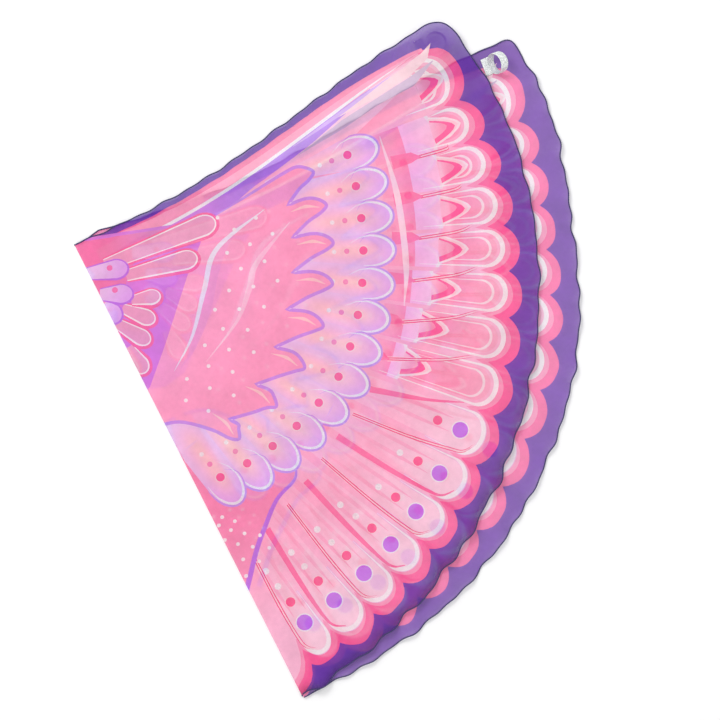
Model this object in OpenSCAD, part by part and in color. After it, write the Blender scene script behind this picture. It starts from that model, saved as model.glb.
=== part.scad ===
// Fairy wings: one printed sheer sheet, cut as a near half disc and worn as a cape.
// The sheet lies folded in two along its middle, with the front half on top of the rear half.
// Lengths are in millimetres and angles in degrees.
//
// Two frames are used:
//  - the sheet frame: the sheet spread flat, neck centre at the origin, bottom point on -Y,
//    the rear wing towards +X and the front wing towards -X, inner face up;
//  - the part frame: the fold along Y, the folded wings towards +X, resting on z = 0.

/* [Sheet] */
// Length from the neck centre to the bottom point
centre_len = 634; // [500:1:760]
// Length from the neck centre to each wing tip
tip_reach = 574; // [450:1:700]
// Angle over which the outer edge swells from the tip radius to the bottom radius
edge_growth = 28; // [15:1:60]
// Depth of the shoulder dip and height of the tip rise in the leading edge
lead_wave = 14; // [0:1:25]
// Size of the rounded tip corner
tip_round = 20; // [8:1:40]
// Thickness of the sheet
sheet_t = 0.8; // [0.4:0.1:1.5]

/* [Fold] */
// Angle between the fold and the sheet's own centre line
fold_skew = 3.05; // [0:0.05:6]
// Angle at which the front half rests on its finger loop
rest_tilt = 1.7; // [1.6:0.1:4]
// Radius of the soft bend along the fold
fold_r = 1.7; // [1.5:0.1:2.5]

/* [Hem] */
// Width of the rolled hem
hem_w = 2.4; // [1.5:0.1:5]
// Height of the rolled hem
hem_h = 1.4; // [1:0.1:2]
// Width of the edging thread on the hem
thread_w = 1.2; // [0.6:0.1:1.5]
// Height of the edging thread
thread_h = 0.3; // [0.2:0.1:0.5]

/* [Finger loops] */
// Outer diameter of the loop
loop_d = 26.6; // [20:0.2:36]
// Width of the elastic band
band_w = 12; // [8:1:16]
// Thickness of the elastic band
band_t = 0.9; // [0.6:0.1:1]
// Distance from the neck centre to the loop's base line
loop_reach = 536.5; // [420:0.5:560]
// Distance of the loop's middle below the straight leading line
loop_drop = 9.5; // [5:0.5:20]
// Lean of the rear loop from upright towards the tip
rear_lean = 35; // [0:1:80]
// Lean of the front loop, which lies under the front half
front_lean = 80; // [70:1:80]
// Length of the flat stitched end under the loop
tab_len = 22; // [18:1:26]

/* [Shoulder elastics] */
// Distance from the neck centre to the start of the band
elastic_start = 52; // [45:1:80]
// Length of the band between its outer ends
elastic_len = 150; // [100:1:200]
// Width of the band
elastic_w = 14; // [8:1:20]
// Distance of the band's middle below the straight leading line
elastic_drop = 30; // [25:1:60]

/* [Hidden] */

rear = 1;                              // side of the fold, along X in the sheet frame
front = -1;
clear = 0.3;                           // air between a stitched end and its ring
fold_z = fold_r + 0.2;                 // height of the fold's axis
panel_start = fold_r + 0.5;            // where both panels begin beside the fold
lead_turn = 288;                       // degrees of the sine wave along the leading edge
lead_steps = 24;
tip_steps = 8;
outer_steps = 60;
tip_angle = 1;                         // where the rounded tip meets the outer edge
lead_end = 1 - tip_round / tip_reach;  // share of the leading edge before the rounded tip
reach_span = 1 - exp(-90 / edge_growth);
big = 2 * centre_len;                  // larger than the whole sheet

// Outline of one half in the sheet frame. inset moves the outline into the sheet.
function reach(a) = tip_reach + (centre_len - tip_reach) * (1 - exp(-a / edge_growth)) / reach_span;
function lead_y(s) = -lead_wave * sin(lead_turn * s);
function lead_point(s, inset) = [s * tip_reach, lead_y(s) - inset];
function outer_point(a, inset) = (reach(a) - inset) * [cos(a), -sin(a)];
function curve(t, a, b, c) = pow(1 - t, 2) * a + 2 * t * (1 - t) * b + pow(t, 2) * c;
function tip_point(t, inset) = curve(
    t,
    lead_point(lead_end, inset),
    [tip_reach - inset, lead_y(1) - inset],
    outer_point(tip_angle, inset)
);
function lead_edge(inset) = concat(
    [for (i = [0:lead_steps]) lead_point(lead_end * i / lead_steps, inset)],
    [for (i = [1:tip_steps]) tip_point(i / tip_steps, inset)]
);
function outer_edge(inset) = [
    for (i = [0:outer_steps]) outer_point(tip_angle + (90 - tip_angle) * i / outer_steps, inset)
];
function reversed(points) = [for (i = [len(points) - 1:-1:0]) points[i]];

// The sheet's outline in the open part frame, used to centre the part on its own box
function opened(p) = [
    p[0] * cos(fold_skew) + (p[1] + centre_len) * sin(fold_skew),
    (p[1] + centre_len) * cos(fold_skew) - p[0] * sin(fold_skew)
];
half_edge = concat(lead_edge(0), outer_edge(0));
rear_places = [for (p = half_edge) opened(p)];
front_places = [for (p = half_edge) opened([-p[0], p[1]])];
low_y = min([for (p = rear_places) p[1]]);
high_y = max([for (p = front_places) p[1]]);
far_x = max([for (p = rear_places) p[0]]);
middle = [(far_x - fold_r) / 2, (high_y + low_y) / 2];

// Frame changes
module centred() {
    translate([-middle[0], -middle[1], 0])
        children();
}

module open_place() {
    rotate([0, 0, -fold_skew])
        translate([0, centre_len, 0])
            children();
}

// Brings the open front half over onto the rear half, about the fold
module folded_over() {
    translate([0, 0, fold_z])
        rotate([0, 180 - rest_tilt, 0])
            translate([0, 0, -fold_z])
                children();
}

// Keeps what lies on one side of the fold
module cut_at_fold(side) {
    intersection() {
        open_place()
            children();
        translate([side > 0 ? panel_start : -panel_start - big, -big, -big])
            cube([big, 3 * big, 2 * big]);
    }
}

// Places a piece of one wing where it rests, from the sheet frame
module at_rest(side) {
    centred()
        if (side == rear)
            children();
        else
            folded_over()
                children();
}

// A piece on the far side of the sheet is the mirror image of the one on the near side
module on_side(side) {
    if (side == rear)
        children();
    else
        mirror([1, 0, 0])
            children();
}

// Strips and panels of the sheet
module strip(outer, inner, height) {
    linear_extrude(height)
        polygon(concat(outer, reversed(inner)));
}

module both_halves() {
    children();
    mirror([1, 0, 0])
        children();
}

module panel_shape() {
    linear_extrude(sheet_t)
        polygon(concat(lead_edge(hem_w), outer_edge(hem_w)));
}

module panel(side) {
    at_rest(side)
        cut_at_fold(side)
            both_halves()
                panel_shape();
}

module leading_strip(side, width, base, height) {
    at_rest(side)
        cut_at_fold(side)
            translate([0, 0, base])
                both_halves()
                    strip(lead_edge(0), lead_edge(width), height);
}

module outer_strip(side, width, base, height) {
    at_rest(side)
        cut_at_fold(side)
            translate([0, 0, base])
                both_halves()
                    strip(outer_edge(0), outer_edge(width), height);
}

module rear_wing_panel() {
    color("orchid")
        panel(rear);
}

module front_wing_panel() {
    color("hotpink")
        panel(front);
}

// The bend where the sheet turns over on itself, kept clear of the hems at both ends
fold_len = centre_len * cos(fold_skew) - 4 * hem_w;

module centre_fold() {
    color("hotpink")
        centred()
            translate([0, hem_w, fold_z])
                rotate([-90, 0, 0])
                    cylinder(r = fold_r, h = fold_len, $fn = 48);
}

module rear_leading_hem() {
    color("rebeccapurple")
        leading_strip(rear, hem_w, 0, hem_h);
}

module front_leading_hem() {
    color("rebeccapurple")
        leading_strip(front, hem_w, 0, hem_h);
}

module rear_outer_hem() {
    color("rebeccapurple")
        outer_strip(rear, hem_w, 0, hem_h);
}

module front_outer_hem() {
    color("rebeccapurple")
        outer_strip(front, hem_w, 0, hem_h);
}

module rear_leading_thread() {
    color("midnightblue")
        leading_strip(rear, thread_w, hem_h, thread_h);
}

module front_leading_thread() {
    color("midnightblue")
        leading_strip(front, thread_w, hem_h, thread_h);
}

module rear_outer_thread() {
    color("midnightblue")
        outer_strip(rear, thread_w, hem_h, thread_h);
}

module front_outer_thread() {
    color("midnightblue")
        outer_strip(front, thread_w, hem_h, thread_h);
}

// Finger loops: a flat stitched end on the sheet's inner face, and the ring that rises from it.
// The ring turns about the tip-side edge of its base.
tab_top = sheet_t + band_t;
loop_base_z = tab_top + clear;
tab_before = 13; // how far the stitched end runs towards the leading edge from the loop's middle
tack_margin = 1; // band left free beside a tack

module loop_place(side) {
    at_rest(side)
        open_place()
            on_side(side)
                translate([loop_reach, -loop_drop, 0])
                    children();
}

module loop_tab(side) {
    loop_place(side)
        translate([-band_w, tab_before - tab_len, sheet_t])
            cube([band_w, tab_len, band_t]);
}

// Two rows of bar tack across the free end of the tab
module loop_tack(side) {
    tack_w = 1.4;
    tack_gap = 3.4;
    for (row = [0, 1])
        loop_place(side)
            translate([tack_margin - band_w, tab_before - tack_w - tack_margin - row * tack_gap, tab_top])
                cube([band_w - 2 * tack_margin, tack_w, thread_h]);
}

module finger_loop(side, lean) {
    loop_place(side)
        translate([0, 0, loop_base_z])
            rotate([0, lean, 0])
                translate([-band_w, 0, loop_d / 2])
                    rotate([0, 90, 0])
                        difference() {
                            cylinder(d = loop_d, h = band_w, $fn = 96);
                            translate([0, 0, -1])
                                cylinder(d = loop_d - 2 * band_t, h = band_w + 2, $fn = 96);
                        }
}

module rear_loop_tab() {
    color("gainsboro")
        loop_tab(rear);
}

module front_loop_tab() {
    color("gainsboro")
        loop_tab(front);
}

module rear_loop_tack() {
    color("white")
        loop_tack(rear);
}

module front_loop_tack() {
    color("white")
        loop_tack(front);
}

module rear_finger_loop() {
    color("silver")
        finger_loop(rear, rear_lean);
}

module front_finger_loop() {
    color("silver")
        finger_loop(front, front_lean);
}

// Shoulder elastics: flat bands on the inner face, tacked at both ends
module elastic_place(side) {
    at_rest(side)
        open_place()
            on_side(side)
                translate([elastic_start, -elastic_drop, 0])
                    children();
}

module shoulder_elastic(side) {
    elastic_place(side)
        translate([0, -elastic_w / 2, sheet_t])
            cube([elastic_len, elastic_w, band_t]);
}

module elastic_tacks(side) {
    tack_w = 1.6;
    tack_in = 4;
    for (x = [tack_in, elastic_len - tack_in - tack_w])
        elastic_place(side)
            translate([x, tack_margin - elastic_w / 2, tab_top])
                cube([tack_w, elastic_w - 2 * tack_margin, thread_h]);
}

module rear_shoulder_elastic() {
    color("pink")
        shoulder_elastic(rear);
}

module front_shoulder_elastic() {
    color("pink")
        shoulder_elastic(front);
}

module rear_elastic_tacks() {
    color("white")
        elastic_tacks(rear);
}

module front_elastic_tacks() {
    color("white")
        elastic_tacks(front);
}

rear_wing_panel();
front_wing_panel();
centre_fold();
rear_leading_hem();
rear_outer_hem();
front_leading_hem();
front_outer_hem();
rear_leading_thread();
rear_outer_thread();
front_leading_thread();
front_outer_thread();
rear_loop_tab();
rear_loop_tack();
rear_finger_loop();
front_loop_tab();
front_loop_tack();
front_finger_loop();
rear_shoulder_elastic();
rear_elastic_tacks();
front_shoulder_elastic();
front_elastic_tacks();
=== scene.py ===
"""Fairy wings: a printed chiffon cape folded in two, with the front half lying on the rear half.

The print is drawn once, as outlines on one half of the flat sheet, in millimetres and degrees:
the neck centre is the origin, x runs along the leading edge to the wing tip and y runs from the
bottom point up to the neck. The same half is then laid down twice, as the rear and the front wing.
"""
import bpy
import math
import random
import numpy as np
from mathutils import Matrix, Vector
from mathutils.geometry import delaunay_2d_cdt


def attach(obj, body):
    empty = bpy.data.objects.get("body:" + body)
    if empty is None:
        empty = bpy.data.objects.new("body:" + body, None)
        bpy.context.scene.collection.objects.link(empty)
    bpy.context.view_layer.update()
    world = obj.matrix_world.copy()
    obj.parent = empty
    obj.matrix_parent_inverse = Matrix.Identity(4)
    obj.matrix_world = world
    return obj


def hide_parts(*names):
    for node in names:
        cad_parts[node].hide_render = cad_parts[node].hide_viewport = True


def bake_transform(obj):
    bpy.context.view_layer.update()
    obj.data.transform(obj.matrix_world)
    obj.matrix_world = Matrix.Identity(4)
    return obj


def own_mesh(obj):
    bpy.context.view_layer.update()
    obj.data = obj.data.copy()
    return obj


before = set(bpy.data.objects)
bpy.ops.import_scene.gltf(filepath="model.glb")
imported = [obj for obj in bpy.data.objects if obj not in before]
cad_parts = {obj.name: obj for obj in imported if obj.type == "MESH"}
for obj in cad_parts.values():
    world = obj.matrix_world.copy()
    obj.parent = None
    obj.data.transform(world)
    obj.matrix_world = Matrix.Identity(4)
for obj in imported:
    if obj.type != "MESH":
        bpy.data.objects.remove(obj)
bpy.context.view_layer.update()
MM = 0.001

# -------- the cut sheet, as in the frame
CENTRE_LEN = 634.0  # from the neck to the bottom point
TIP_REACH = 574.0  # from the neck to the wing tip
EDGE_GROWTH = 28.0  # degrees over which the outer edge's radius grows
LEAD_WAVE = 14.0  # height of the leading edge's shallow wave
LEAD_TURN = 288.0  # degrees of that wave from the neck to the tip
TIP_ROUND = 20.0
TIP_ANGLE = 1.0  # where the rounded tip meets the outer edge
FOLD_SKEW = math.radians(3.05)  # how far the fold is turned from the sheet's middle line
MIDDLE = (305.423, 337.904)  # middle of the folded part, which is the frame's origin
REAR, FRONT = 1, -1

# -------- heights and stitched pieces, as in the frame
REST_TILT = math.radians(1.7)
HINGE_Z = 1.9
HINGE_TOP = 3.4  # middle of the front sheet's thickness at the fold, in the frame
SHEET_Z = 0.4
FRONT_Z = 3.0
FOLD_WIDTH = 4.4
FOLD_HALF = FOLD_WIDTH / 2 / math.cos(FOLD_SKEW)
LOOP_REACH = 536.5
LOOP_DROP = 9.5
LOOP_D = 26.6
LOOP_BASE = 2.0
LEAN = {REAR: math.radians(35), FRONT: math.radians(80)}  # of each finger loop from upright
BAND_W = 12.0
BAND_T = 0.9
TAB = (-9.0, 13.0)  # ends of the stitched end, from the loop's middle towards the leading edge
ELASTIC_START = 52.0
ELASTIC_LEN = 150.0
ELASTIC_W = 14.0
ELASTIC_DROP = 30.0
ELASTIC_T = 0.5


def reach(a):
    """Radius of the outer edge at a degrees below the leading line."""
    growth = (1 - np.exp(-a / EDGE_GROWTH)) / (1 - math.exp(-90 / EDGE_GROWTH))
    return TIP_REACH + (CENTRE_LEN - TIP_REACH) * growth


def lead_y(x):
    return -LEAD_WAVE * np.sin(np.radians(LEAD_TURN * x / TIP_REACH))


def polar(r, a):
    """Points at radius r and a degrees below the leading line."""
    a = np.radians(a)
    return np.stack(np.broadcast_arrays(r * np.cos(a), -r * np.sin(a)), -1)


def lead_path(steps=80):
    x = np.linspace(0, TIP_REACH - TIP_ROUND, steps)
    return np.stack([x, lead_y(x)], -1)


def tip_path(steps=10):
    t = np.linspace(0, 1, steps + 1)[1:, None]
    start = lead_path()[-1]
    corner = np.array([TIP_REACH, lead_y(TIP_REACH)])
    end = polar(reach(TIP_ANGLE), TIP_ANGLE)
    return (1 - t) ** 2 * start + 2 * t * (1 - t) * corner + t**2 * end


def outer_path(steps=220):
    a = np.linspace(TIP_ANGLE, 90, steps)
    return polar(reach(a), a)


def fold_x(y):
    """How far the fold lies from the centre line at height y, towards the front wing."""
    return (y + CENTRE_LEN) * math.tan(FOLD_SKEW)


# -------- colours of the print, sRGB
def colour(code):
    """Linear colour of an sRGB hex code."""
    c = np.array([int(code[i : i + 2], 16) / 255 for i in (0, 2, 4)])
    return np.where(c <= 0.04045, c / 12.92, ((c + 0.055) / 1.055) ** 2.4)


VIOLET = colour("6227A2")
HOT = colour("FF4F97")
ROSE = colour("FF8FB7")
BLUSH = colour("FFBBD7")
MID_PINK = colour("FF93B8")
WHITE = colour("FFF4F7")
ORCHID = colour("D672DE")
STREAK = colour("B263E2")
LAVENDER = colour("DDA2F4")
PALE_LAVENDER = colour("E7C4F2")
GREY_LAVENDER = colour("D0B0D2")
CREAM_PINK = colour("FFD0DA")
LEAF = colour("EE9DC1")
PURPLE_DOT = colour("C263EA")
# The border and the feathers
DEEP_ROSE = colour("F0609F")
SOFT_ROSE = colour("FFA2C3")
FEATHER_ROSE = colour("FF9DC0")
FEATHER_CORE = colour("FF8DB4")
FEATHER_END = colour("FFB0CA")
FINE_LINE = colour("FFE3EA")
CRESCENT_RIM = colour("FFE6EC")
LILAC_BLOCK = colour("FBB0E6")
LILAC_BLOCK_END = colour("FFC4E6")
BLOCK_EDGE = colour("FADCEB")
PINK_BLOCK = colour("FF93BB")
PINK_BLOCK_END = colour("FF7DB0")
PALE_END = colour("F3B4E0")
LONG_FEATHER = colour("FFB3D0")
LONG_FEATHER_END = colour("FFCDE0")
FEATHER_STREAK = colour("FFA9C8")
PINK_DOT = colour("FF3F86")
WIDE_RIB = colour("FF5F9C")
THIN_RIB = colour("F0407F")
JUNCTION = colour("FF62A0")
ARC = colour("FFD0E2")
# The leading edge
LEAD_PINK = colour("F0589A")
LEAD_PINK_END = colour("FF6FA6")
LEAD_ROSE = colour("FF93BC")
LEAD_MAUVE = colour("F49ACB")
LEAD_MAUVE_END = colour("FFC0DC")
WHITE_LINE = colour("FBF2FB")
STREAK_END = colour("AE70E6")
THIN_STREAK = colour("CFA0F2")
# The lobes
PEACH = colour("FFC8CC")
PEACH_HALO = colour("F9B4DE")
LOBE_RIM = colour("BC8CEC")
LOBE_LIGHT = colour("F3F1FF")
LOBE_DOT = colour("F8478F")
SMALL_DOT = colour("F27FB4")
# The inner wing and the neck
WING_PINK = colour("FFA2CA")
WING_PINK_END = colour("FF96BE")
TOOTH_RIM = colour("BD82E8")
TOOTH_LIGHT = colour("FFC9C9")
WEDGE_PINK = colour("FA7FAE")
WEDGE_PINK_END = colour("FC92BA")
COLLAR = colour("F56BA6")
COLLAR_END = colour("E07CC8")
LEAF_RIM = colour("FB5C9C")
NECK_DOT = colour("F26BAE")
SHADOW_STROKE = colour("F79CCB")
LONG_STROKE = colour("EFE9FB")
PINK_STROKE = colour("FFBBD6")

# -------- drawing tools
ART = []  # what is painted, from the bottom layer up: (outline, shade, glitter)


def plain(c):
    """The same colour everywhere."""
    return lambda p: np.broadcast_to(c, p.shape[:-1] + (3,))


def along(c0, c1, start, end):
    """A gradient from c0 at radius start to c1 at radius end."""

    def shade(p):
        t = np.clip((np.hypot(p[..., 0], p[..., 1]) - start) / (end - start), 0, 1)
        t = (t * t * (3 - 2 * t))[..., None]
        return c0 * (1 - t) + c1 * t

    return shade


def paint(outline, shade, glitter=0.0):
    """Adds a layer in one colour or in a shade, which is a function of the place."""
    if isinstance(shade, np.ndarray):
        shade = plain(shade)
    ART.append((np.asarray(outline, float), shade, glitter))


def dot(r, a, size, shade, glitter=0.0, steps=20):
    """A round dot; size is its own radius."""
    t = np.linspace(0, 2 * math.pi, steps, endpoint=False)
    paint(polar(r, a) + size * np.stack([np.cos(t), np.sin(t)], -1), shade, glitter)


def stroke(path, widths, shade, glitter=0.0):
    """A band along a path; widths are spread evenly over its length."""
    path = np.asarray(path, float)
    step = np.gradient(path, axis=0)
    step /= np.linalg.norm(step, axis=1)[:, None] + 1e-9
    side = np.stack([-step[:, 1], step[:, 0]], -1)
    half = np.interp(np.linspace(0, 1, len(path)), np.linspace(0, 1, len(widths)), widths) / 2
    band = np.concatenate([path + side * half[:, None], (path - side * half[:, None])[::-1]])
    paint(band, shade, glitter)


def bend(*points, steps=24):
    """A smooth (Catmull-Rom) curve through (radius, angle) points."""
    p = np.array(corners(*points))
    p = np.concatenate([[2 * p[0] - p[1]], p, [2 * p[-1] - p[-2]]])
    out = []
    for i in range(1, len(p) - 2):
        t = np.linspace(0, 1, steps // (len(p) - 3) + 2)[:-1, None]
        a, b, c, d = p[i - 1 : i + 3]
        out.append(b + t * (c - a) / 2 + t**2 * (a - 2.5 * b + 2 * c - d / 2)
                   + t**3 * (1.5 * b - 1.5 * c + (d - a) / 2))
    return np.concatenate(out + [p[-2:-1]])


def corners(*points):
    """Straight sides through (radius, angle) points."""
    return [polar(r, a) for r, a in points]


def local_shape(points, a):
    """Points given along and across the ray at angle a, with the lower side positive."""
    c, s = math.cos(math.radians(a)), math.sin(math.radians(a))
    return np.stack([points[:, 0] * c - points[:, 1] * s, -points[:, 0] * s - points[:, 1] * c], -1)


def finger(tip, a, length, half, cap, narrow, steps=12):
    """A rounded finger with its tip at radius tip and angle a; narrow is its foot's share of its width."""
    t = np.linspace(-math.pi / 2, math.pi / 2, steps)
    head = np.stack([tip - cap + cap * np.cos(t), half * np.sin(t)], -1)
    foot = [[tip - length, half * narrow], [tip - length, -half * narrow]]
    return local_shape(np.concatenate([head, foot]), a)


# -------- the outer feathers
FEATHERS = 16
UPPER = 8  # how many of them, from the tip on, carry a crescent
CREST = 17.0  # height of a scallop over its notches
LAST_CREST = 13.0  # how much higher the last scallop stands
FIRST_ANGLE = 1.8
TIP_FEATHERS = 9.0  # the notches before this angle have one radius
LAST_NOTCH = 87.2
PAST_FOLD = 94.0  # the last feather ends beyond the fold
NOTCH_START = 9.1
NOTCH_STEP = 5.67
WIDEST_FEATHER = 9.2
FEATHER_CAP = 32.0  # length of a feather's rounded end
BLOCK_INNER = 437.0  # where the lobes end, and the blocks between them and the crescents start
CORE_INSET = 29.0
FAR_DOT, MIDDLE_DOT = 558.0, 527.0
NEAR_DOTS = ((502.0, 56, 0.2), (478.0, 68, 0.4))  # radius, angle of the first such dot, degrees aside
BORDER = 8.0
TIP_BORDER = 22.0


def notch_angle(k):
    """Angle between feather k - 1 and feather k."""
    if k == 0:
        return FIRST_ANGLE
    if k == FEATHERS - 1:
        return LAST_NOTCH
    k = k - 1
    return NOTCH_START + NOTCH_STEP * k + 2.0 * math.exp(-(((k - WIDEST_FEATHER) / 2.6) ** 2))


def notch_radius(a):
    """Radius of the scallops' notches; the border narrows towards the bottom point."""
    return reach(a) - 45 + 0.19 * a


def cap_height(phi, open_share):
    """1 in the middle of a scallop and 0 at its notches; a share of 1 is a half circle."""
    low = math.sqrt(1 - open_share**2)
    return (np.sqrt(1 - (open_share * phi) ** 2) - low) / (1 - low)


def feather_edge(inset, steps=14):
    """The scalloped line that runs inset millimetres inside the feathers' ends."""
    out = []
    for k in range(FEATHERS):
        a0 = notch_angle(k)
        a1 = notch_angle(k + 1) if k < FEATHERS - 1 else PAST_FOLD
        phi = np.linspace(-1, 1, steps)
        a = (a0 + a1) / 2 + phi * (a1 - a0) / 2
        crest = CREST + 0.75 * inset
        if k == FEATHERS - 1:
            crest += LAST_CREST
        if k == FEATHERS - 2:
            crest *= 0.6
        base = notch_radius(np.clip(a, TIP_FEATHERS, 90)) - 1.75 * inset
        r = base + crest * cap_height(phi, min(0.97, 0.84 + 0.006 * inset))
        keep = a <= 90
        out.append(polar(r[keep][:-1], a[keep][:-1]))
    return np.concatenate(out + [polar(np.array([notch_radius(90.0) + CREST + LAST_CREST - inset]), 90.0)])


def feather_field(inset, lead_inset):
    """Everything inside a scalloped line and inside the leading border."""
    x = np.linspace(0, 520, 60)
    lead = np.stack([x, lead_y(x) - lead_inset(x)], -1)
    edge = feather_edge(inset)
    return np.concatenate([lead, edge, [[0, 0]]])


def border_width(x):
    """Width of the violet border along the leading edge, which widens just before the tip."""
    return BORDER + TIP_BORDER * (x / TIP_REACH) ** 6


def feather_top(a):
    """Radius of the feathers' ends; those at the tip all end alike."""
    return notch_radius(max(a, TIP_FEATHERS)) + CREST


def feather_middle(k):
    return (notch_angle(k) + notch_angle(k + 1)) / 2


def feather_half(k, r):
    """Half the width of feather k at radius r."""
    return r * math.radians(notch_angle(k + 1) - notch_angle(k)) / 2


def feather_u(k, inset, side_gap, inner, trail=0.0, steps=18):
    """A U line round the end of feather k: inset from the crest, open towards the neck.

    Its sides end at radius inner, and the lower one runs on inwards by trail.
    """
    a = feather_middle(k)
    top = feather_top(a) - inset
    half_angle = (notch_angle(k + 1) - notch_angle(k)) / 2 - math.degrees(side_gap / top)
    cap = FEATHER_CAP - 0.4 * inset
    t = np.linspace(-math.pi / 2, math.pi / 2, steps)
    head_r = top - cap + cap * np.cos(t)
    head_a = a + half_angle * np.sin(t)
    return np.concatenate([
        polar(np.array([inner]), a - half_angle * 0.96),
        polar(head_r, head_a),
        polar(np.array([inner - trail]), a + half_angle * 0.96),
    ])


def rib_inner(k):
    """Inner end of the rib between feather k - 1 and feather k."""
    a = notch_angle(k)
    below = max(a - 50, 0)
    lean = 3.4 * math.exp(-(((a - 43) / 16) ** 2)) - 1.6 * (1 - math.exp(-((below / 14) ** 2)))
    r = 478 - 1.25 * max(a - 14, 0) + 0.0408 * below**2
    return r, a + lean


def petal(tip, a, length, half, steps=13):
    """A pointed arch that points outwards, flat towards the neck."""
    t = np.linspace(-1, 1, steps)
    out = tip - length * np.abs(t) ** 1.25
    across = half * np.sign(t) * np.abs(t) ** 0.72
    return local_shape(np.stack([out, across], -1), a)


def draw_fields():
    """The border, the scalloped pink bands and the pale ground of the feathers."""
    paint(feather_field(0, border_width), along(DEEP_ROSE, HOT, 60, 420))
    paint(feather_field(12, lambda x: border_width(x) + 3), ROSE)
    paint(feather_field(21, lambda x: border_width(x) + 9), along(SOFT_ROSE, BLUSH, 420, 560))


def crescent_radius(a):
    """Radius of the crescents' feet, which draw in towards the fold."""
    below = max(a - 12, 0)
    return 516 - 0.55 * below - 0.019 * below**2


def u_stroke(k, inset, side_gap, inner, wide, shade, glitter=0.0, trail=0.0):
    """A U line that thins out towards the neck."""
    taper = [0.05, 0.35, 0.8, 1.0]
    widths = wide * np.array(taper + [1.0] + taper[::-1])
    path = feather_u(k, inset, side_gap, inner, trail, steps=26)
    sides = np.linspace(0, 1, 7)[:, None]
    first = path[0] * (1 - sides) + path[1] * sides
    last = path[-2] * (1 - sides) + path[-1] * sides
    stroke(np.concatenate([first, path[2:-2], last]), widths, shade, glitter)


def draw_upper_feather(k):
    """One of the feathers with nested white lines and a hot pink crescent."""
    a = feather_middle(k)
    top = feather_top(a)
    middle = crescent_radius(a)
    inner = middle - 10
    paint(feather_u(k, 19, 4, inner), along(FEATHER_ROSE, BLUSH, inner, top))
    u_stroke(k, 22, 5.5, inner, 6.2, WHITE, 0.4, 28)
    paint(feather_u(k, CORE_INSET, 10, inner + 6), along(FEATHER_CORE, FEATHER_END, middle, top))
    if top - middle > 48:
        u_stroke(k, 38, 13, inner + 4, 3.4, FINE_LINE, 0.3, 12)
    half = min(feather_half(k, middle) - 9, 15)
    paint(petal(middle + 25, a, 38, half + 3.6), CRESCENT_RIM, 0.4)
    paint(petal(middle + 21.5, a, 35, half + 1.6), CREAM_PINK)
    paint(petal(middle + 17, a + 0.1, 30, half), HOT)
    paint(petal(middle + 7, a - 0.15, 21, half - 4), along(BLUSH, MID_PINK, middle - 16, middle + 4))


def draw_inner_blocks(k):
    """The lilac and pink fields that an upper feather shows between its crescent and the lobes."""
    a0, a1 = notch_angle(k) + 0.4, notch_angle(k + 1) - 0.2
    outer = crescent_radius(feather_middle(k)) - 13
    if outer - BLOCK_INNER < 12:
        return
    share = BLOCK_INNER + 0.4 * (outer - BLOCK_INNER)
    sides = np.linspace(a0, a1, 6)
    swing = 5 * np.sin(np.linspace(0, math.pi, 6))
    band = np.concatenate([polar(outer + swing, sides), polar(np.full(6, share), sides[::-1])])
    paint(band, along(LILAC_BLOCK, LILAC_BLOCK_END, share, outer))
    edge = np.concatenate([polar(outer + swing, sides), polar(outer - 5 + 1.5 * swing, sides)[::-1]])
    paint(edge, BLOCK_EDGE, 0.5)
    low = np.concatenate([polar(np.full(6, share), sides), polar(np.full(6, BLOCK_INNER - 14), sides[::-1])])
    paint(low, along(PINK_BLOCK, PINK_BLOCK_END, BLOCK_INNER, share))


def draw_lower_feather(k):
    """One of the long pale feathers with a row of dots."""
    a = feather_middle(k)
    paint(feather_u(k, 17.5, 2.5, 520), PALE_END)
    paint(feather_u(k, 24.5, 6.5, 400), along(LONG_FEATHER, LONG_FEATHER_END, 440, 560))
    u_stroke(k, 21.5, 4.5, 520, 5.6, WHITE, 0.4)
    for side in (-1.1, 0.75):
        line = polar(np.linspace(420, 545, 8), a + side)
        stroke(line, [0.5, 4.5, 5.0, 0.5], FEATHER_STREAK)
    dot(FAR_DOT, a, 11.5, WHITE, 0.6)
    dot(FAR_DOT, a, 10, PURPLE_DOT)
    dot(MIDDLE_DOT, a, 6.8, CREAM_PINK)
    dot(MIDDLE_DOT, a, 6, PINK_DOT)
    for r, first, aside in NEAR_DOTS:
        if a > first:
            dot(r, a + aside, 4.2, WHITE, 1.0)


def rib_path(k, side=0.0):
    """From the rib's inner end out to the notch; a long rib also turns in below feather k - 1."""
    r0, a0 = rib_inner(k)
    a = notch_angle(k)
    span = a - notch_angle(k - 1)
    top = notch_radius(a)
    turn = math.degrees(side / top)
    elbow = (r0 + (top - r0) * 0.45, a0 + (a - a0) * 0.62 + turn)
    path = [(r0, a0 + turn), elbow, (top - 40, a - 0.35 + turn)]
    if k > UPPER:
        path += [(top - 22, a - 0.13 * span + turn), (top - 12, a - 0.34 * span + turn)]
    return bend(*path, steps=26)


def draw_rib(k):
    """A tapering pink rib, or a pair of thin lines with a pale gap."""
    if k >= UPPER and k % 2 == 0:
        stroke(rib_path(k), [8, 6.5, 4, 3, 1.0], WIDE_RIB)
        return
    stroke(rib_path(k), [6.0, 5.0, 3.5, 1.5, 0.2], CREAM_PINK)
    for side in (-1.7, 1.7):
        stroke(rib_path(k, side), [1.6, 1.5, 1.3, 0.9, 0.1], THIN_RIB)


def draw_junction(k):
    """The deep pink mark where two upper feathers come out from under the lobes."""
    r, a = rib_inner(k)
    bar = [(r - 34, a - 1.3), (r - 8, a - 1.0), (r + 4, a), (r - 10, a + 0.6), (r - 34, a + 0.9)]
    paint(corners(*bar), JUNCTION)


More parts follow.
